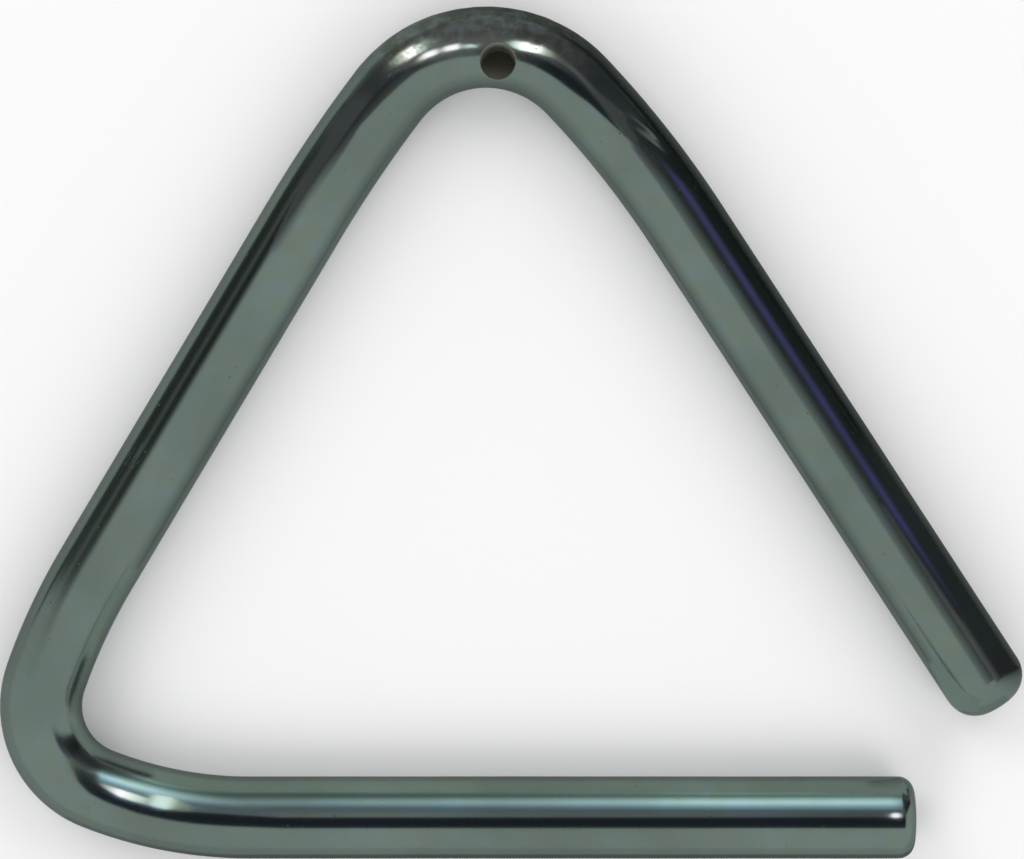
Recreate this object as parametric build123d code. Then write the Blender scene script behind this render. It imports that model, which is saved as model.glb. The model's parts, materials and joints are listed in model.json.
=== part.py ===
"""Open percussion triangle: one round steel bar, bent twice, drilled at its apex to hang from a cord.

Lengths are in millimetres and angles in degrees. The bar lies on its side: X runs along the base, Y up the
triangle towards the apex and Z through the bar. The origin is under the middle of the bar's outline.
"""

from build123d import *
import os

# Bar stock
BAR_DIAMETER = 8.0

# Straight stretches, from the base's free end round to the leg's free end
BASE_LENGTH = 65.2
LEFT_LEG_LENGTH = 39.5
RIGHT_LEG_LENGTH = 56.1

# Closed corner at the lower left, between the base and the left leg
CORNER_ANGLE = 59.2
CORNER_RADIUS = 8.7
CORNER_BASE_EASING_TURN = 21.6
CORNER_BASE_EASING_RADIUS = 40.4
CORNER_LEG_EASING_TURN = 11.4
CORNER_LEG_EASING_RADIUS = 59.0

# Apex, between the left leg and the right leg
APEX_ANGLE = 63.9
APEX_RADIUS = 12.1
APEX_LEFT_EASING_TURN = 6.3
APEX_LEFT_EASING_RADIUS = 136.0
APEX_RIGHT_EASING_TURN = 10.4
APEX_RIGHT_EASING_RADIUS = 97.0

# Hanging hole, drilled square to the triangle, just past the middle of the apex and nearer its inside
HOLE_DIAMETER = 3.4
HOLE_PAST_APEX_MIDDLE = 9.4
HOLE_INNER_WALL = 0.65
HOLE_RIM_ROUNDING = 0.25

# Free ends, cut square and then rounded at the edge
BASE_END_ROUNDING = 1.5
RIGHT_LEG_END_ROUNDING = 3.0

HALF_TURN = 180
QUARTER_TURN = 90
CLOCKWISE = -1


def bend(start, heading, inside_angle, radius, easing_in, easing_out):
    """Three arcs that meet smoothly: an open one in, the tight one over the bending die, an open one out."""
    turn_in, radius_in = easing_in
    turn_out, radius_out = easing_out
    tight_turn = HALF_TURN - inside_angle - turn_in - turn_out
    arcs = []
    for turn, arc_radius in ((turn_in, radius_in), (tight_turn, radius), (turn_out, radius_out)):
        arc = JernArc(start, heading, arc_radius, CLOCKWISE * turn)
        arcs.append(arc)
        start, heading = arc @ 1, arc % 1
    return arcs


def run_on(edge, length):
    """A straight stretch that carries on from the end of an edge."""
    return Line(edge @ 1, edge @ 1 + (edge % 1) * length)


base = Line((0, 0), (-BASE_LENGTH, 0))
corner = bend(
    base @ 1,
    base % 1,
    CORNER_ANGLE,
    CORNER_RADIUS,
    (CORNER_BASE_EASING_TURN, CORNER_BASE_EASING_RADIUS),
    (CORNER_LEG_EASING_TURN, CORNER_LEG_EASING_RADIUS),
)
left_leg = run_on(corner[-1], LEFT_LEG_LENGTH)
apex = bend(
    left_leg @ 1,
    left_leg % 1,
    APEX_ANGLE,
    APEX_RADIUS,
    (APEX_LEFT_EASING_TURN, APEX_LEFT_EASING_RADIUS),
    (APEX_RIGHT_EASING_TURN, APEX_RIGHT_EASING_RADIUS),
)
right_leg = run_on(apex[-1], RIGHT_LEG_LENGTH)
centreline = Wire([base, *corner, left_leg, *apex, right_leg])


def drawn_bar():
    """The bar's round section carried along its bent centreline."""
    section_plane = Plane(base @ 0, x_dir=(0, -1, 0), z_dir=base % 0)
    section = section_plane * Circle(BAR_DIAMETER / 2)
    return sweep(section, centreline)


def rounded_ends(bar):
    """Takes the sharp edge off each sawn end."""
    for end_point, rounding in ((base @ 0, BASE_END_ROUNDING), (right_leg @ 1, RIGHT_LEG_END_ROUNDING)):
        end_face = bar.faces().filter_by(GeomType.PLANE).sort_by_distance(end_point)[0]
        bar = fillet(end_face.edges(), rounding)
    return bar


def hole_centre():
    """Where the hole's axis crosses the middle plane of the bar."""
    tight_arc = apex[1]
    tight_turn = HALF_TURN - APEX_ANGLE - APEX_LEFT_EASING_TURN - APEX_RIGHT_EASING_TURN
    place = 0.5 + HOLE_PAST_APEX_MIDDLE / tight_turn
    inward = (tight_arc % place).rotate(Axis.Z, CLOCKWISE * QUARTER_TURN)
    inset = BAR_DIAMETER / 2 - HOLE_DIAMETER / 2 - HOLE_INNER_WALL
    return tight_arc @ place + inward * inset


def drilled(bar):
    """The hanging hole, with both its rims eased so that they don't cut the cord."""
    drill = Pos(hole_centre()) * Cylinder(HOLE_DIAMETER / 2, 2 * BAR_DIAMETER)
    bar = bar - drill
    bore = bar.faces().filter_by(GeomType.CYLINDER).sort_by_distance(hole_centre())[0]
    rims = bore.edges().filter_by(GeomType.LINE, reverse=True)
    return fillet(rims, HOLE_RIM_ROUNDING)


bar = drilled(rounded_ends(drawn_bar()))
outline = bar.bounding_box()
to_origin = Pos(-outline.center().X, -outline.center().Y, -outline.min.Z)
triangle_bar = to_origin * bar

os.makedirs("parts", exist_ok=True)
export_step(triangle_bar, "parts/triangle_bar.step")
print("outline", triangle_bar.bounding_box().size)
print("bar length along its centreline", centreline.length)
print("hanging hole at", to_origin * Pos(hole_centre()))
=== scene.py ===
import json
import math

import bmesh
import bpy
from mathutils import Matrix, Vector, noise


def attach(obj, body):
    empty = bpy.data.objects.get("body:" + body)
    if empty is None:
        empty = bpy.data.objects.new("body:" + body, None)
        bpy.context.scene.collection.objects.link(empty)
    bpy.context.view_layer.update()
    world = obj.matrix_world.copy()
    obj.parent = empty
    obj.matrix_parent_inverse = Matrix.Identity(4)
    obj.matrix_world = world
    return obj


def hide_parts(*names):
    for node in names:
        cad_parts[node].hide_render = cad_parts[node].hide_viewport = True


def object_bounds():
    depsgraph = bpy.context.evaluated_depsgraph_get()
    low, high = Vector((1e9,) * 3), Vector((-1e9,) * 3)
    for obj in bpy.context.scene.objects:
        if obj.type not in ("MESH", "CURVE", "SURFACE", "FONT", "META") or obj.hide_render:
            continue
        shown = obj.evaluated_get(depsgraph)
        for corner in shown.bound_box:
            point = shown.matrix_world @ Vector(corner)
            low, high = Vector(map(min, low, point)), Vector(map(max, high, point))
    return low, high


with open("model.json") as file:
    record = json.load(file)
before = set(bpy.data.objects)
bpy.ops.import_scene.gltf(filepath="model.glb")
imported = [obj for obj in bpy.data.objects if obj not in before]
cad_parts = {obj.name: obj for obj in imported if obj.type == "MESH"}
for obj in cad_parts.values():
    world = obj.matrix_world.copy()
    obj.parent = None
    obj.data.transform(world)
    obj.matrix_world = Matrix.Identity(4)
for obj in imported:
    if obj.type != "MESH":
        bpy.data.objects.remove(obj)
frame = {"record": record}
cad_low, cad_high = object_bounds()

# The bar: one length of round, cold-drawn steel, bent twice over a die into an open triangle.
# It is drilled for its cord, eased at its two sawn ends, and plated bright all over after that, so it is
# one piece with no joint in it. It lies on its side, with its middle plane level.

MM = 0.001
BAR_RADIUS = (cad_high.z - cad_low.z) / 2
SECTION_POINTS = 160
STRAIGHT_STEP = 1.2 * MM
BEND_STEP = 0.36 * MM

BASE_LENGTH = 65.2 * MM
LEFT_LEG_LENGTH = 39.5 * MM
RIGHT_LEG_LENGTH = 56.1 * MM
BASE_END_ROUNDING = 1.5 * MM
RIGHT_LEG_END_ROUNDING = 3.0 * MM
ROUNDING_STEPS = 14
END_FACE_MARGIN = 0.06 * MM
MERGE_DISTANCE = 0.001 * MM

# Each bend is three arcs: an open one in, the tight one over the die and an open one out. They are given as
# turns in degrees and radii.
CORNER_ARCS = ((21.6, 40.4 * MM), (87.8, 8.7 * MM), (11.4, 59.0 * MM))
APEX_ARCS = ((6.3, 136.0 * MM), (99.4, 12.1 * MM), (10.4, 97.0 * MM))


def arcs_of(bend):
    """The lengths and turns of a bend's arcs."""
    return [(radius * math.radians(turn), math.radians(turn)) for turn, radius in bend]


corner_in, corner_tight, corner_out = arcs_of(CORNER_ARCS)
apex_in, apex_tight, apex_out = arcs_of(APEX_ARCS)

# The straight and bent stretches, from the base's free end round to the right leg's, as lengths and turns
stretches = [
    (BASE_LENGTH, 0),
    corner_in,
    corner_tight,
    corner_out,
    (LEFT_LEG_LENGTH, 0),
    apex_in,
    apex_tight,
    apex_out,
    (RIGHT_LEG_LENGTH, 0),
]


def start_of(stretch):
    """How far along the bar a stretch starts."""
    return sum(length for length, turn in stretches[:stretches.index(stretch)])


corner_start = start_of(corner_tight)
corner_length = corner_tight[0]
apex_start = start_of(apex_tight)
apex_length, apex_turn = apex_tight
apex_radius = apex_length / apex_turn

# The straight bar is turned first, lying along X with the outside of the coming bends towards Y.
bar = bmesh.new()


def carry_on(vert, length, step):
    """Draws the bar's outline on along X in even steps."""
    steps = math.ceil(length / step)
    drawn = bmesh.ops.spin(bar, geom=[vert], axis=(0, 0, 1), dvec=(length / steps, 0, 0), steps=steps)
    return next(part for part in drawn["geom_last"] if isinstance(part, bmesh.types.BMVert))


def round_over(vert, rounding, direction):
    """Draws the outline of a rounded end, its sawn face and the face's centre."""
    centre = vert.co - Vector((0, rounding, 0))
    turned = bmesh.ops.spin(
        bar,
        geom=[vert],
        cent=centre,
        axis=(0, 0, 1),
        angle=-direction * math.pi / 2,
        steps=ROUNDING_STEPS,
    )
    edge = next(part for part in turned["geom_last"] if isinstance(part, bmesh.types.BMVert))
    margin = bar.verts.new(edge.co - Vector((0, END_FACE_MARGIN, 0)))
    middle = bar.verts.new((edge.co.x, 0, 0))
    bar.edges.new((edge, margin))
    bar.edges.new((margin, middle))


first = bar.verts.new((BASE_END_ROUNDING, BAR_RADIUS, 0))
last = first
for place, (length, turn) in enumerate(stretches):
    if place == 0:
        length -= BASE_END_ROUNDING
    if place == len(stretches) - 1:
        length -= RIGHT_LEG_END_ROUNDING
    last = carry_on(last, length, BEND_STEP if turn else STRAIGHT_STEP)
round_over(first, BASE_END_ROUNDING, -1)
round_over(last, RIGHT_LEG_END_ROUNDING, 1)
bmesh.ops.spin(
    bar,
    geom=list(bar.verts) + list(bar.edges),
    axis=(1, 0, 0),
    angle=2 * math.pi,
    steps=SECTION_POINTS,
    use_merge=True,
)
bmesh.ops.remove_doubles(bar, verts=bar.verts, dist=MERGE_DISTANCE)


# The drawn bar is a little uneven, more so where it was bent: the outside of the apex is flattened and
# roughened by the stretch, and the right leg has a slight knock just past the apex.
UNEVENNESS = 0.010 * MM
BEND_UNEVENNESS = 0.035 * MM
UNEVEN_LENGTH = 11 * MM
APEX_UNEVEN_SHARE = 0.55
CORNER_UNEVEN_SHARE = 0.6
STRETCH_GRAIN = 0.04 * MM
STRETCH_GRAIN_LENGTH = 0.9 * MM
STRETCH_GRAIN_SPREAD = math.radians(60)
FLATTENING = 0.16 * MM
FLATTENED_AT = math.radians(38)
FLATTENED_SPREAD = math.radians(26)
KNOCK_PLACE = 188.4 * MM
KNOCK_LENGTH = 2.4 * MM
KNOCK_AT = math.radians(66)
KNOCK_SLANT = math.radians(-5) / MM
KNOCK_SPREAD = math.radians(6)
KNOCK_DEPTH = 0.06 * MM


def bump(distance, spread):
    """A smooth bump, one at its middle."""
    return math.exp(-((distance / spread) ** 2))


def skin_radius(along, around):
    """The bar's true radius at a place along it and an angle round it from the outside of the bends."""
    at_apex = bump(along - apex_start - apex_length / 2, apex_length * APEX_UNEVEN_SHARE)
    at_corner = bump(along - corner_start - corner_length / 2, corner_length * CORNER_UNEVEN_SHARE)
    spot = Vector((along, BAR_RADIUS * math.cos(around), BAR_RADIUS * math.sin(around)))
    sway = noise.noise(spot / UNEVEN_LENGTH) * (UNEVENNESS + BEND_UNEVENNESS * max(at_apex, at_corner))
    grain = noise.noise(spot / STRETCH_GRAIN_LENGTH) * STRETCH_GRAIN * at_apex
    grain *= bump(around, STRETCH_GRAIN_SPREAD)
    flat = FLATTENING * at_apex * bump(abs(around) - FLATTENED_AT, FLATTENED_SPREAD)
    knock_at = KNOCK_AT + KNOCK_SLANT * (along - KNOCK_PLACE)
    knock = KNOCK_DEPTH * bump(along - KNOCK_PLACE, KNOCK_LENGTH) * bump(around - knock_at, KNOCK_SPREAD)
    return BAR_RADIUS + sway + grain - flat - knock


unbent = bar.verts.layers.float_vector.new("unbent")
for vert in bar.verts:
    along, outward, height = vert.co
    swelling = skin_radius(along, math.atan2(height, outward)) / BAR_RADIUS
    vert[unbent] = (along, outward * swelling, height * swelling)


# Then it is bent to the right, first at the corner and then at the apex.
def ahead(heading):
    """The level direction of a heading."""
    return Vector((math.cos(heading), math.sin(heading), 0))


def bent(along):
    """Where a place along the bar comes to lie, and the bar's heading there."""
    place = Vector((0, 0, 0))
    heading = math.pi
    for length, turn in stretches:
        part = min(along, length)
        if turn:
            radius = length / turn
            swept = part / radius
            place += ahead(heading - math.pi / 2) * radius + ahead(heading + math.pi / 2 - swept) * radius
            heading -= swept
        else:
            place += ahead(heading) * part
        along -= part
    return place, heading


rings = {}
for vert in bar.verts:
    along, outward, height = vert[unbent]
    station = round(along / MM, 4)
    if station not in rings:
        rings[station] = bent(along)
    place, heading = rings[station]
    vert.co = place + ahead(heading + math.pi / 2) * outward + Vector((0, 0, height))
lowest = Vector(min(v.co[axis] for v in bar.verts) for axis in range(3))
into_place = cad_low - lowest
bmesh.ops.translate(bar, verts=bar.verts, vec=into_place)
middle_height = cad_low.z + BAR_RADIUS
apex_foot, apex_heading = bent(apex_start)
apex_centre = apex_foot + into_place + ahead(apex_heading - math.pi / 2) * apex_radius

# The hanging hole is drilled square through the bent bar, near the inside of its apex.
HOLE_RIM_ROUNDING = 0.12 * MM
HOLE_PATCH_LENGTH = 4.0 * MM
HOLE_PATCH_INNER = math.radians(11)
HOLE_PATCH_OUTER = math.radians(118)
HOLE_PATCH_RINGS = 4

hanging_hole = frame["record"]["mounts"][0]
hole_centre = Vector(hanging_hole["pos_m"])
hole_radius = hanging_hole["dims"]["r_mm"] * MM


def straightened(point):
    """Where a point of the tight apex lay on the straight bar."""
    arm = (point - apex_centre).to_2d()
    swept = apex_heading + math.pi / 2 - math.atan2(arm.y, arm.x)
    return Vector((apex_start + swept * apex_radius, arm.length - apex_radius, point.z - middle_height))


hole_place = straightened(hole_centre)


def near_hole(face, side):
    """Whether a face of the skin is in the patch round one mouth of the hole."""
    along, outward, height = sum((v[unbent] for v in face.verts), Vector()) / len(face.verts)
    around = math.atan2(height * side, -outward)
    return abs(along - hole_place.x) < HOLE_PATCH_LENGTH and HOLE_PATCH_INNER < around < HOLE_PATCH_OUTER


rims = []
for side in (1, -1):
    patch = {face for face in bar.faces if near_hole(face, side)}
    mouth = [e for e in {e for face in patch for e in face.edges} if len(patch & set(e.link_faces)) == 1]
    bmesh.ops.delete(bar, geom=list(patch), context="FACES")
    for rings_left in range(HOLE_PATCH_RINGS, 0, -1):
        grown = bmesh.ops.extrude_edge_only(bar, edges=mouth)["geom"]
        mouth = [part for part in grown if isinstance(part, bmesh.types.BMEdge) and part.is_boundary]
        for vert in {v for e in mouth for v in e.verts}:
            on_rim = hole_centre.xy + (vert.co - hole_centre).xy.normalized() * hole_radius
            vert.co.xy = vert.co.xy.lerp(on_rim, 1 / rings_left)
            along, outward, height = straightened(vert.co)
            radius = skin_radius(along, math.atan2(height, outward))
            vert.co.z = middle_height + side * math.sqrt(radius ** 2 - outward ** 2)
    rims += mouth
bmesh.ops.bridge_loops(bar, edges=rims)
bmesh.ops.bevel(
    bar, geom=rims, offset=HOLE_RIM_ROUNDING, segments=4, profile=0.5, affect="EDGES", material=-1
)
for vert in bar.verts:
    if (vert.co - hole_centre).to_2d().length < HOLE_PATCH_LENGTH:
        vert[unbent] = straightened(vert.co)
bmesh.ops.recalc_face_normals(bar, faces=bar.faces)
for face in bar.faces:
    face.smooth = True

bar_mesh = bpy.data.meshes.new("triangle_bar_plated")
bar.to_mesh(bar_mesh)
bar.free()
plated_bar = bpy.data.objects.new("plated_bar", bar_mesh)
bpy.context.scene.collection.objects.link(plated_bar)


class Shade:
    """A socket of a node tree. Arithmetic on it adds Math nodes, and add() makes any other node."""

    def __init__(self, tree, socket=None):
        self.tree = tree
        self.socket = socket

    def add(self, kind, settings=None, inputs=None, output=0):
        node = self.tree.nodes.new(kind)
        settings = dict(settings or {})
        stops = settings.pop("stops", None)
        for name, value in settings.items():
            setattr(node, name, value)
        if stops:
            while len(node.color_ramp.elements) < len(stops):
                node.color_ramp.elements.new(0.5)
            for element, (position, colour) in zip(node.color_ramp.elements, stops):
                element.position = position
                element.color = (*colour, 1)
        for name, value in (inputs or {}).items():
            if isinstance(value, Shade):
                self.tree.links.new(value.socket, node.inputs[name])
            else:
                node.inputs[name].default_value = value
        return Shade(self.tree, node.outputs[output] if node.outputs else None)

    def maths(self, operation, first, second):
        return self.add("ShaderNodeMath", {"operation": operation}, {0: first, 1: second})

    def __add__(self, other):
        return self.maths("ADD", self, other)

    def __sub__(self, other):
        return self.maths("SUBTRACT", self, other)

    def __rsub__(self, other):
        return self.maths("SUBTRACT", other, self)

    def __mul__(self, other):
        return self.maths("MULTIPLY", self, other)

    __radd__ = __add__
    __rmul__ = __mul__


def new_material(name):
    """An empty material and its node tree."""
    material = bpy.data.materials.new(name)
    material.use_nodes = True
    material.node_tree.nodes.clear()
    return material, Shade(material.node_tree)


PLATING = (0.242, 0.324, 0.304, 1)
WARM_PLATING = (0.242, 0.312, 0.258, 1)
SMEARED_PLATING = (0.198, 0.258, 0.228, 1)
STRETCHED_PLATING = (0.150, 0.178, 0.142, 1)
GRAZING_TINT = (0.7, 0.7, 0.7, 1)
BORE_STEEL = (0.35, 0.35, 0.27, 1)
BROWNED_STEEL = (0.2, 0.19, 0.14, 1)
PIT_COLOUR = (0.06, 0.065, 0.055, 1)

plating, nodes = new_material("bright_plating")
place = nodes.add("ShaderNodeTexCoord", output="Object")
lay = nodes.add("ShaderNodeAttribute", {"attribute_name": "unbent"}, output="Vector")
along = nodes.add("ShaderNodeSeparateXYZ", inputs={0: lay}, output="X")
outward = nodes.add("ShaderNodeSeparateXYZ", inputs={0: lay}, output="Y")


def ease(value, start, stop):
    """Rises smoothly from nought to one between two values."""
    return nodes.add(
        "ShaderNodeMapRange",
        {"interpolation_type": "SMOOTHSTEP"},
        {"Value": value, "From Min": start, "From Max": stop},
    )


def cloud(vector, scale, detail=3.0, roughness=0.5):
    """Soft noise, about a half on average."""
    return nodes.add(
        "ShaderNodeTexNoise",
        inputs={"Vector": vector, "Scale": scale, "Detail": detail, "Roughness": roughness},
    )


def stretched(vector, lengthwise, crosswise):
    """Coordinates for marks that are long along the bar and fine across it."""
    return nodes.add(
        "ShaderNodeVectorMath",
        {"operation": "MULTIPLY"},
        {0: vector, 1: (lengthwise, crosswise, crosswise)},
    )


def blend(amount, first, second):
    """Goes from one colour to another."""
    return nodes.add(
        "ShaderNodeMix",
        {"data_type": "RGBA"},
        {0: amount, 6: first, 7: second},
        output=2,
    )


# Handling leaves dull smears and fine hairlines, and drawing leaves faint lines along the bar. Scales are
# in marks to a metre, and a pair of them is along the bar and across it.
SMEAR_SCALE = 95
TINT_SCALE = 420
MOTTLING_SCALE = 900
DRAW_LINE_SCALES = (25, 5200)
HAIRLINE_SCALES = (55, 420)
HAIRLINE_GAP_SCALE = 140
HAIRLINE_WIDTH = 0.006

smears = cloud(place, SMEAR_SCALE, detail=4)
mottling = cloud(place, MOTTLING_SCALE, detail=5, roughness=0.65)
draw_lines = cloud(stretched(lay, *DRAW_LINE_SCALES), 1.0, detail=2)
hair_field = cloud(stretched(lay, *HAIRLINE_SCALES), 1.0)
hair_gaps = ease(cloud(place, HAIRLINE_GAP_SCALE), 0.5, 0.62)
off_hair = nodes.maths("ABSOLUTE", hair_field - 0.5, 0.0)
hairlines = (1 - ease(off_hair, 0.0, HAIRLINE_WIDTH)) * hair_gaps

# The outside of the apex was stretched in the bending, which left the plating mottled there.
STRETCH_BEFORE = 2 * MM
STRETCH_AFTER = 3 * MM
STRETCH_WITHIN = 4 * MM
OUTSIDE_FADE = 1.2 * MM

apex_end = apex_start + apex_length
stretch_in = ease(along, apex_start - STRETCH_BEFORE, apex_start + STRETCH_WITHIN)
stretch_out = ease(along, apex_end - STRETCH_WITHIN, apex_end + STRETCH_AFTER)
stretching = stretch_in * (1 - stretch_out) * ease(outward, 0.0, OUTSIDE_FADE)

# The plating has scattered pinholes.
PIT_SCALE = 1100
PIT_EDGE = (0.06, 0.14)
PIT_CHANCE = (0.76, 0.78)

pit_cells = {"Vector": place, "Scale": PIT_SCALE}
pit_distance = nodes.add("ShaderNodeTexVoronoi", inputs=pit_cells, output="Distance")
pit_choice = nodes.add("ShaderNodeTexVoronoi", inputs=pit_cells, output="Color")
pits = (1 - ease(pit_distance, *PIT_EDGE)) * ease(pit_choice, *PIT_CHANCE)

SMEAR_STRENGTH = 0.8
PIT_STRENGTH = 0.45

tint = ease(cloud(place, TINT_SCALE, detail=4), 0.35, 0.65)
skin_colour = blend(tint, PLATING, WARM_PLATING)
skin_colour = blend(ease(smears, 0.3, 0.7) * SMEAR_STRENGTH, skin_colour, SMEARED_PLATING)
skin_colour = blend(stretching * ease(mottling, 0.35, 0.6), skin_colour, STRETCHED_PLATING)
skin_colour = blend(pits * PIT_STRENGTH, skin_colour, PIT_COLOUR)

# The bore shows raw, browned steel.
BROWNING_SCALE = 1500
BROWNING_COVER = 0.9
BORE_INSET = 0.01 * MM
BORE_FADE = 0.04 * MM

from_hole = nodes.add("ShaderNodeVectorMath", {"operation": "SUBTRACT"}, {0: place, 1: hole_centre})
level = nodes.add("ShaderNodeVectorMath", {"operation": "MULTIPLY"}, {0: from_hole, 1: (1, 1, 0)})
hole_distance = nodes.add("ShaderNodeVectorMath", {"operation": "LENGTH"}, {0: level}, output="Value")
bore = 1 - ease(hole_distance, hole_radius - BORE_INSET, hole_radius + BORE_FADE)
browning = cloud(place, BROWNING_SCALE, detail=4)
bore_colour = blend(browning, BORE_STEEL, BROWNED_STEEL)
skin_colour = blend(bore, skin_colour, bore_colour)

POLISH = 0.15
RAW_DULLNESS = 0.5
RELIEF_STRENGTH = 0.35
RELIEF_DEPTH = 0.006 * MM

dullness = POLISH + smears * 0.05 + stretching * 0.06 + hairlines * 0.1 + pits * 0.25 + draw_lines * 0.02
dullness = dullness + bore * RAW_DULLNESS
relief = draw_lines * 0.25 - hairlines * 0.6 - pits * 2.0 + mottling * stretching * 1.2
raised = nodes.add(
    "ShaderNodeBump",
    inputs={"Strength": RELIEF_STRENGTH, "Distance": RELIEF_DEPTH, "Height": relief},
)
skin = nodes.add(
    "ShaderNodeBsdfPrincipled",
    inputs={
        "Base Color": skin_colour,
        "Metallic": 1 - bore * BROWNING_COVER,
        "Roughness": dullness,
        "Normal": raised,
        "Specular Tint": GRAZING_TINT,
    },
)
nodes.add("ShaderNodeOutputMaterial", inputs={"Surface": skin})
bar_mesh.materials.append(plating)

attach(plated_bar, "root")
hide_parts("triangle_bar")

# The floor: a plain pale sheet that the triangle lies on.
# A dark spot on it under the hanging hole, which the bar hides, is painted shade that keeps the hole dark
# inside.

FLOOR_SIZE = 8.0
FLOOR_COLOUR = (0.94, 0.94, 0.94, 1)
HOLE_SHADE = (0.15, 0.15, 0.125, 1)
PAINTED_SHADE_RADIUS = 2.2 * MM
PAINTED_SHADE_CORE = 0.85 * PAINTED_SHADE_RADIUS
PAINTED_SHADE_SHIFT = 0.35 * MM
painted_shade_centre = Vector((hole_centre.x, hole_centre.y + PAINTED_SHADE_SHIFT, 0))

floor_shape = bmesh.new()
bmesh.ops.create_grid(floor_shape, x_segments=1, y_segments=1, size=FLOOR_SIZE / 2)
floor_mesh = bpy.data.meshes.new("floor")
floor_shape.to_mesh(floor_mesh)
floor_shape.free()
floor = bpy.data.objects.new("floor", floor_mesh)
floor.location.z = cad_low.z
bpy.context.scene.collection.objects.link(floor)
floor_finish, nodes = new_material("floor_sheet")
place = nodes.add("ShaderNodeTexCoord", output="Object")
distance_from_painted_shade = nodes.add(
    "ShaderNodeVectorMath",
    {"operation": "DISTANCE"},
    {0: place, 1: painted_shade_centre},
    output="Value",
)
# Painted shade: the floor goes dark in a spot under the hanging hole
sheet_colour = blend(ease(distance_from_painted_shade, PAINTED_SHADE_CORE, PAINTED_SHADE_RADIUS), HOLE_SHADE, FLOOR_COLOUR)
sheet = nodes.add("ShaderNodeBsdfDiffuse", inputs={"Color": sheet_colour})
nodes.add("ShaderNodeOutputMaterial", inputs={"Surface": sheet})
floor_mesh.materials.append(floor_finish)

# The light: an even pale surround and four wide softboxes.
# Glowing cards that only the metal sees give it its dark and bright bands, highlights and glints, all
# painted reflections. A straight stretch of bar mirrors only what stands square to it, so each has a tall
# card of its own. Ribbons close to the bar give the rest.

SURROUND = (0.62, 0.62, 0.62, 1)
BACKGROUND = (0.88, 0.88, 0.88, 1)
CARD_STEPS = 60

world = bpy.data.worlds.new("surround")
bpy.context.scene.world = world
world.use_nodes = True
world.node_tree.nodes.clear()
nodes = Shade(world.node_tree)
soft_light = nodes.add("ShaderNodeBackground", inputs={"Color": SURROUND, "Strength": 1.0})
pale = nodes.add("ShaderNodeBackground", inputs={"Color": BACKGROUND, "Strength": 1.0})
seen = nodes.add("ShaderNodeLightPath", output="Is Camera Ray")
both = nodes.add("ShaderNodeMixShader", inputs={0: seen, 1: soft_light, 2: pale})
nodes.add("ShaderNodeOutputWorld", inputs={"Surface": both})


def from_zenith(azimuth, polar, distance):
    """A point at an angle from straight up, in a level direction counted from +X towards +Y."""
    azimuth = math.radians(azimuth)
    polar = math.radians(polar)
    flat = math.sin(polar) * distance
    return Vector((flat * math.cos(azimuth), flat * math.sin(azimuth), math.cos(polar) * distance))


def stand(name, shape, finish):
    """Stands a card where only the metal sees it. It lights nothing and casts no shadow, so what the metal
    shows of it is a painted reflection.
    """
    mesh = bpy.data.meshes.new(name)
    shape.to_mesh(mesh)
    shape.free()
    mesh.materials.append(finish)
    made = bpy.data.objects.new(name, mesh)
    bpy.context.scene.collection.objects.link(made)
    made.visible_camera = False
    made.visible_diffuse = False
    made.visible_shadow = False


def widen(shape, across):
    """Widens a line of edges into a sheet."""
    wide = bmesh.ops.extrude_edge_only(shape, edges=shape.edges)["geom"]
    moved = [part for part in wide if isinstance(part, bmesh.types.BMVert)]
    bmesh.ops.translate(shape, verts=moved, vec=across)


def tall_card(name, azimuth, distance, widths, stops, brighter=(1.0, 0.0, 0.0)):
    """A curved glowing card about the object, which paints a reflection in the metal. Its colours run from
    its top, nearest the zenith, to its foot.

    Its widths are fractions of its distance. Its brightness along X has a level, a slope and a bend.
    """
    shape = bmesh.new()
    first, last = stops[0][0], stops[-1][0]
    top = bmesh.ops.create_vert(shape, co=from_zenith(azimuth, first, distance))["vert"]
    across = from_zenith(azimuth + 90, 90, 1)
    bmesh.ops.spin(shape, geom=top, axis=across, angle=math.radians(last - first), steps=CARD_STEPS)
    bmesh.ops.translate(shape, verts=shape.verts, vec=across * widths[0] * distance)
    widen(shape, across * (widths[1] - widths[0]) * distance)
    finish, nodes = new_material(name)
    place = nodes.add("ShaderNodeTexCoord", output="Object")
    x, y, z = (nodes.add("ShaderNodeSeparateXYZ", inputs={0: place}, output=axis) for axis in "XYZ")
    facing = from_zenith(azimuth, 90, 1)
    polar = nodes.maths("ARCTAN2", x * facing.x + y * facing.y, z) * math.degrees(1)
    shares = [((angle - first) / (last - first), colour) for angle, colour in stops]
    ramp = nodes.add("ShaderNodeValToRGB", {"stops": shares}, {0: (polar - first) * (1 / (last - first))})
    level, slope, bend = brighter
    brightness = x * x * bend + x * slope + level
    lit = nodes.add("ShaderNodeVectorMath", {"operation": "SCALE"}, {0: ramp, "Scale": brightness})
    glow = nodes.add("ShaderNodeEmission", inputs={"Color": lit})
    nodes.add("ShaderNodeOutputMaterial", inputs={"Surface": glow})
    stand(name, shape, finish)


def painted_reflection_finish(name, matt):
    """A card's finish from its own colours, which paint reflections in the metal: matt, so that it takes
    light and shadow, or else glowing.
    """
    finish, nodes = new_material(name)
    colours = nodes.add("ShaderNodeAttribute", {"attribute_name": "colours"}, output="Color")
    kind = "ShaderNodeBsdfDiffuse" if matt else "ShaderNodeEmission"
    shown = nodes.add(kind, inputs={"Color": colours})
    nodes.add("ShaderNodeOutputMaterial", inputs={"Surface": shown})
    return finish


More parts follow.
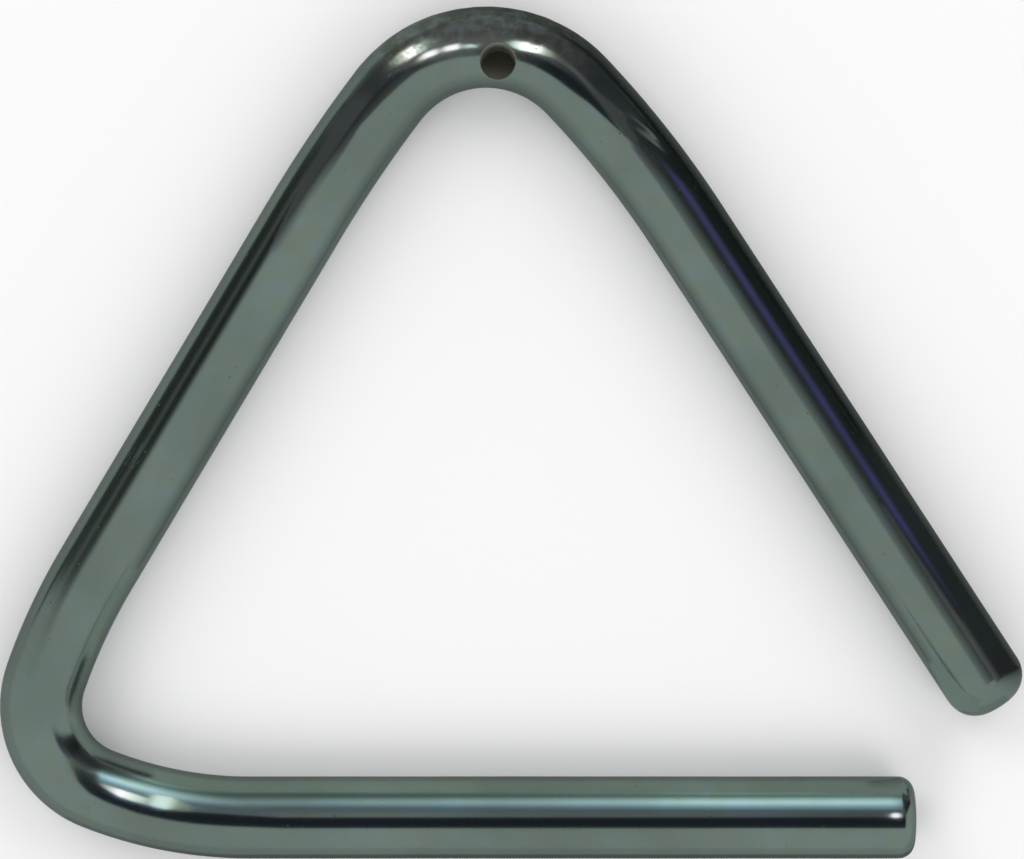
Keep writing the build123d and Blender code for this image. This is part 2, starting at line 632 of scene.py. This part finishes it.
def ribbon(name, heights, stations, matt=False):
    """A ribbon that follows the bar and paints reflections in it, with the heights of its inner and its
    outer edge.

    It is given as places along the bar. Each has two places outward and one colour, or a colour for each.
    """
    shape = bmesh.new()
    colours = shape.verts.layers.float_color.new("colours")
    edges = []
    for along, inner, outer, *shades in stations:
        place, heading = bent(along * MM)
        side = ahead(heading + math.pi / 2) * MM
        ends = [place + into_place + side * reach for reach in (inner, outer)]
        edges.append([shape.verts.new((*end.xy, height)) for end, height in zip(ends, heights)])
        for vert, shade in zip(edges[-1], (shades[0], shades[-1])):
            vert[colours] = (*shade, 1)
    for (a, b), (c, d) in zip(edges, edges[1:]):
        shape.faces.new((a, b, d, c))
    stand(name, shape, painted_reflection_finish(name, matt))


def on_edge(name, heights, reach, places):
    """A ribbon on edge at one place outward, given as places along the bar with their colours."""
    ribbon(name, heights, [(along, reach, reach, *shades) for along, *shades in places])


def grey(level):
    """A neutral tone."""
    return (level, level, level)


# The tones of the cards' painted reflections, from the deepest; the brightest glow past white for painted
# highlights
DARK = (0.03, 0.034, 0.05)
DEEP = (0.06, 0.056, 0.066)
DUSK = (0.1, 0.088, 0.105)
DIM = (0.18, 0.155, 0.175)
HALF = (0.32, 0.28, 0.31)
OPEN = SURROUND[:3]
PALE = (1.0, 0.95, 0.88)
CREAM = (1.9, 1.75, 1.6)
SILVER = (2.9, 2.8, 2.8)
WHITE = (4.8, 3.7, 4.2)
BLAZE = (8.0, 6.6, 7.2)

# Tall cards, one square to each straight stretch, and a flag that paints shade into the reflection at the
# right of the apex
BASE_INSIDE = 90
FLAG_SIDE = 56
left_leg_outside = BASE_INSIDE + 180 - sum(turn for turn, radius in CORNER_ARCS)
right_leg_outside = left_leg_outside - sum(turn for turn, radius in APEX_ARCS)
tall_card("base_far", BASE_INSIDE, 1.2, (-0.18, 0.15), (
    (24, (0.26, 0.31, 0.39)),
    (33, (0.38, 0.52, 0.7)),
    (42, (1.0, 1.2, 1.42)),
    (48, (1.3, 1.5, 1.7)),
    (57, (0.75, 0.92, 0.95)),
    (67, (0.15, 0.21, 0.19)),
    (74, (0.36, 0.46, 0.43)),
    (84, (0.62, 0.7, 0.66)),
    (89, (0.62, 0.7, 0.66)),
), (0.84, 5.2, 18))
tall_card("left_leg_far", left_leg_outside, 1.2, (-0.14, 0.17), (
    (28, grey(0.6)),
    (35, grey(0.2)),
    (41, grey(0.01)),
    (53, grey(0.004)),
    (61, grey(0.2)),
    (69, grey(0.06)),
    (76, grey(0.03)),
    (91.5, grey(0.05)),
))
tall_card("right_leg_far", right_leg_outside, 1.2, (-0.17, 0.16), (
    (26, DEEP),
    (60, (0.032, 0.03, 0.04)),
    (66, grey(0.025)),
    (91.5, grey(0.025)),
))
tall_card("right_flag", FLAG_SIDE, 1.6, (-0.45, 0.45), (
    (26, HALF),
    (40, DIM),
    (60, DEEP),
    (89, DUSK),
))

# Ribbons over the base and the corner, which paint the base's dark band and the corner's glints and streaks
# as reflections. Places are along the bar and outward from its middle, in mm.
OVERHEAD = (13 * MM, 13 * MM)
UNDER_OVERHEAD = (12.5 * MM, 12.5 * MM)
CLOSEST = (12 * MM, 12 * MM)
ribbon("over_base", OVERHEAD, (
    (-2, -0.95, 2.95, DARK),
    (62, -0.95, 2.95, DARK),
    (66, -1.7, 2.4, DARK),
    (68, -2.0, 2.3, DARK),
    (71, -1.6, 2.5, DARK),
    (73, -0.9, 2.6, DARK),
    (76, -0.4, 2.7, DARK),
    (79, -1.6, 2.2, DARK),
    (81, -4.0, 1.4, DEEP, DARK),
    (82.5, -6.3, -0.3, DUSK, DARK),
    (83.5, -7.0, -2.2, DIM, DUSK),
    (85, -6.5, -3.8, OPEN),
))
ribbon("beside_over_base", OVERHEAD, (
    (-2, -3.9, -0.95, (0.21, 0.24, 0.28), (0.16, 0.15, 0.18)),
    (34, -3.9, -0.95, (0.24, 0.27, 0.31), (0.37, 0.35, 0.4)),
    (62, -3.9, -0.95, (0.25, 0.28, 0.32), (0.46, 0.43, 0.48)),
    (66, -3.9, -1.7, (0.25, 0.28, 0.32), (0.32, 0.31, 0.36)),
    (68, -3.6, -2.0, (0.26, 0.29, 0.33), (0.32, 0.31, 0.36)),
    (71, -3.0, -1.6, (0.3, 0.34, 0.38), (0.32, 0.31, 0.36)),
))
ribbon("base_end_glint", CLOSEST, (
    (0.9, -1.5, -1.1, PALE),
    (1.3, -2.1, -0.7, WHITE),
    (1.9, -2.1, -0.7, WHITE),
    (2.3, -1.6, -1.1, PALE),
))
BLUE_RIM = (0.14, 0.26, 0.54)
ribbon("corner_glint", CLOSEST, (
    (75.2, -2.8, -0.8, CREAM, PALE),
    (76.6, -3.2, -0.8, SILVER),
    (78.2, -3.3, -1.0, WHITE),
    (79.4, -3.2, -1.7, CREAM),
    (80.6, -3.4, -2.4, HALF),
))
ribbon("corner_streak", CLOSEST, (
    (71.0, -3.4, -2.4, OPEN),
    (72.4, -4.4, -1.9, PALE),
    (73.4, -5.6, -0.8, SILVER),
    (74.6, -5.4, -0.8, SILVER),
    (75.4, -4.4, -1.0, PALE),
))
ribbon("corner_rim", CLOSEST, (
    (72.6, -0.8, -0.4, DARK),
    (74.0, -0.8, 0.2, BLUE_RIM, DARK),
    (78.4, -1.0, 0.2, BLUE_RIM, DARK),
    (79.6, -1.7, -0.6, DARK),
))

# Ribbons over the apex, and a wall at the outer edge of the widest, down to the floor. They paint the
# apex's dark bands and the highlights beside its hole as reflections.
APEX_REACH = 60
WALL_HEIGHTS = (0.1 * MM, 13 * MM)
ribbon("over_apex", UNDER_OVERHEAD, (
    (141, 1.0, 5.2, OPEN, DIM),
    (147, 0.6, 4.4, OPEN, DUSK),
    (153, 0.4, 3.6, HALF, DEEP),
    (156, 0.9, 3.6, DIM, DARK),
    (159, -0.3, 3.4, DIM, DARK),
    (162, -1.5, 2.2, DIM, DARK),
    (164, -1.6, 0.4, DUSK),
    (168, -3.2, -1.4, HALF),
    (172, -4.0, -1.6, DIM),
    (175.5, -3.9, -1.0, DUSK),
    (177, -3.9, -0.4, DARK),
    (180, -3.4, 0.4, DARK),
    (183, -1.5, 0.7, DARK),
    (186, -0.4, 0.6, DARK),
    (188.5, 0.6, 1.0, DIM),
))
ribbon("behind_apex", OVERHEAD, (
    (142, 4.2, 6.0, DIM),
    (147, 3.2, 9.0, DIM),
    (151, 3.0, 14.0, DIM),
    (158, 2.3, 50.0, DIM),
    (160, 2.0, APEX_REACH, DUSK),
    (162, 1.5, APEX_REACH, DIM),
    (165, 0.0, APEX_REACH, HALF),
    (168, -1.5, APEX_REACH, HALF),
    (171, -2.0, APEX_REACH, HALF),
    (174, -2.0, APEX_REACH, DIM, HALF),
    (177, -1.5, APEX_REACH, DIM),
    (180, 0.0, APEX_REACH, DUSK),
    (182, 0.6, APEX_REACH, DEEP),
    (186, 0.8, 30.0, DUSK),
    (190, 2.0, 4.0, DEEP),
))
on_edge("apex_wall", WALL_HEIGHTS, APEX_REACH, (
    (158, DIM),
    (165, HALF),
    (168, HALF),
    (171, HALF),
    (174, HALF),
    (177, DIM),
    (180, DUSK),
    (182, DEEP),
))
ribbon("apex_blob", CLOSEST, (
    (162.2, 4.6, 11.0, DIM),
    (163.2, 4.0, 12.0, CREAM),
    (164.1, 3.2, 11.0, BLAZE),
    (165.0, 3.0, 9.5, SILVER),
    (166.0, 3.0, 8.0, OPEN),
    (167.4, 3.6, 7.0, HALF),
))
ribbon("apex_streak", CLOSEST, (
    (164.2, 0.8, 1.6, HALF),
    (165.2, 0.3, 2.0, WHITE),
    (166.2, 0.1, 1.8, WHITE),
    (166.7, 0.2, 1.1, OPEN),
    (167.3, -0.2, 1.4, WHITE),
    (168.4, -0.5, 1.1, WHITE),
    (168.9, -0.5, 0.6, OPEN),
    (169.5, -0.6, 0.5, SILVER),
    (170.6, -0.8, 0.0, PALE),
))
ribbon("apex_highlight", CLOSEST, (
    (172.6, -0.6, 0.6, HALF),
    (173.8, -0.3, 2.2, SILVER),
    (175.4, 0.3, 3.0, BLAZE),
    (176.6, 0.9, 3.3, CREAM),
    (177.8, 1.5, 3.4, HALF),
    (180.2, 1.7, 3.0, HALF),
    (183.0, 1.2, 3.2, DIM),
    (186.0, 1.0, 5.2, DIM),
    (189.0, 0.6, 2.8, DIM),
))
ribbon("right_streak_reflection", CLOSEST, (
    (186.0, 5.5, 7.5, DUSK),
    (188.0, 7.5, 11.0, HALF),
    (189.6, 10.5, 15.5, OPEN),
    (191.0, 15.0, 19.0, DUSK),
))

# Ribbons over the right leg, and a roof and a wall beside its end, which paint the leg's dark bands and
# purple line as reflections
PURPLE = (0.16, 0.13, 0.42)
RIGHT_END_REACH = 24
RIGHT_END_STOP = 296
ribbon("purple_line", CLOSEST, (
    (191, 4.6, 5.4, DEEP),
    (195, 3.8, 5.8, DEEP, PURPLE),
    (234, 3.8, 6.0, DEEP, PURPLE),
    (246, 4.2, 6.0, DEEP),
))
ribbon("purple_line_outside", CLOSEST, (
    (191, 5.4, 6.5, DEEP),
    (195, 5.8, 10.0, PURPLE, DEEP),
    (234, 6.0, 10.0, PURPLE, DEEP),
    (246, 6.0, 8.0, DEEP),
))
ribbon("over_right_leg", OVERHEAD, (
    (189, -0.3, 3.0, HALF, DEEP),
    (194, -0.6, 3.3, (0.36, 0.36, 0.38), DEEP),
    (204, -0.6, 3.3, (0.42, 0.42, 0.44), DEEP),
    (253, -0.6, 3.3, (0.42, 0.42, 0.44), DEEP),
))
ribbon("right_end_shade", UNDER_OVERHEAD, (
    (232, 2.7, 6.0, DIM, DEEP),
    (246, 2.7, 6.0, HALF, DEEP),
    (RIGHT_END_STOP, 2.7, 6.0, HALF, DEEP),
))
ribbon("right_end_roof", UNDER_OVERHEAD, (
    (226, 6.0, 14.0, DEEP),
    (240, 6.0, RIGHT_END_REACH, DEEP),
    (RIGHT_END_STOP, 6.0, RIGHT_END_REACH, DEEP),
))
ribbon("right_end_wall", WALL_HEIGHTS, (
    (226, RIGHT_END_REACH, RIGHT_END_REACH, DEEP),
    (RIGHT_END_STOP, RIGHT_END_REACH, RIGHT_END_REACH, DEEP),
    (RIGHT_END_STOP, 9.0, 9.0, DEEP),
    (RIGHT_END_STOP, 1.0, 1.0, OPEN),
))

# Upright glowing screens inside the triangle, so that no stretch mirrors the one across from it: the metal
# shows their painted tones instead
SCREEN_HEIGHTS = (0.1 * MM, 8.4 * MM)
SCREEN_PLACE = -10.5
SCREEN_STEPS = 24
BASE_SCREEN = (0.53, 0.56, 0.53)
on_edge("base_screen", SCREEN_HEIGHTS, SCREEN_PLACE, (
    (-6, BASE_SCREEN),
    (76, BASE_SCREEN),
))
apex_steps = [apex_start + apex_length * step / SCREEN_STEPS for step in range(SCREEN_STEPS + 1)]
on_edge("leg_screen", SCREEN_HEIGHTS, SCREEN_PLACE, (
    (107, grey(0.25), OPEN),
    (147, grey(0.27), OPEN),
    *((along / MM, grey(0.37), OPEN) for along in apex_steps),
    (200, grey(0.27), OPEN),
    (254, grey(0.25), OPEN),
))

# Sheets on the floor that only the metal sees, which it mirrors low on its sides: painted shade, darker
# than the floor itself
UNDERLAY_SIZE = 1.2
UNDERLAY_TONE = 0.5
UNDERLAY_HEIGHT = 0.02 * MM
ON_FLOOR = (0.04 * MM, 0.04 * MM)
ON_SHEETS = (0.06 * MM, 0.06 * MM)
SHEET_REACH = 1150
mirrored_floor_shade = bmesh.new()
colours = mirrored_floor_shade.verts.layers.float_color.new("colours")
bmesh.ops.create_grid(mirrored_floor_shade, x_segments=1, y_segments=1, size=UNDERLAY_SIZE / 2)
bmesh.ops.translate(mirrored_floor_shade, verts=mirrored_floor_shade.verts, vec=(0, 0, UNDERLAY_HEIGHT))
for vert in mirrored_floor_shade.verts:
    vert[colours] = (*grey(UNDERLAY_TONE), 1)
stand("mirrored_floor_shade", mirrored_floor_shade, painted_reflection_finish("mirrored_floor_shade", matt=True))
# A painted shadow beside the base, which only its reflection shows
ribbon("painted_base_shadow", ON_FLOOR, (
    (-4, 3, 13, grey(0.28)),
    (64, 3, 13, grey(0.28)),
    (82, 3, 13, grey(0.42)),
), matt=True)
ribbon("left_far_painted_shade", ON_FLOOR, (
    (96, 45, SHEET_REACH, grey(0.06)),
    (160, 45, SHEET_REACH, grey(0.06)),
), matt=True)
ribbon("right_near_painted_shade", ON_FLOOR, (
    (165, 3, 45, grey(0.5)),
    (169, 3, 45, grey(0.3)),
    (177, 3, 30, grey(0.26), grey(0.12)),
    (184, 3, 22, grey(0.3), grey(0.03)),
    (290, 3, 22, grey(0.3), grey(0.03)),
), matt=True)
ribbon("right_far_painted_shade", ON_SHEETS, (
    (176, 30, SHEET_REACH, grey(0.02)),
    (190, 22, SHEET_REACH, grey(0.02)),
    (310, 22, SHEET_REACH, grey(0.02)),
), matt=True)


def softbox(azimuth, polar, distance, width, power):
    """A wide round lamp that faces the triangle and that the metal doesn't mirror."""
    light = bpy.data.lights.new("softbox", "AREA")
    light.shape = "DISK"
    light.size = width
    light.energy = power
    made = bpy.data.objects.new("softbox", light)
    made.location = from_zenith(azimuth, polar, distance)
    made.rotation_mode = "QUATERNION"
    made.rotation_quaternion = (-made.location).to_track_quat("-Z", "Y")
    made.visible_glossy = False
    bpy.context.scene.collection.objects.link(made)


for azimuth in (45, 135, 225, 315):
    softbox(azimuth, polar=48, distance=1.0, width=0.6, power=1.65)

# The camera: straight above the triangle and looking down on it, as close as a hand-held one.
# Its lens is set by the size of a pixel at the bar's middle plane.

CAMERA_DISTANCE = 0.36
SENSOR_WIDTH = 36
IMAGE_WIDTH = 1024
MM_PER_PIXEL = 0.09808
AIM = Vector((0.085 * MM, 0.265 * MM, middle_height))

camera_data = bpy.data.cameras.new("camera")
camera_data.sensor_width = SENSOR_WIDTH
camera_data.lens = SENSOR_WIDTH * CAMERA_DISTANCE / (IMAGE_WIDTH * MM_PER_PIXEL * MM)
camera = bpy.data.objects.new("camera", camera_data)
camera.location = AIM + Vector((0, 0, CAMERA_DISTANCE))
bpy.context.scene.collection.objects.link(camera)
bpy.context.scene.camera = camera
bpy.context.scene.view_settings.view_transform = "Standard"

bpy.context.view_layer.update()
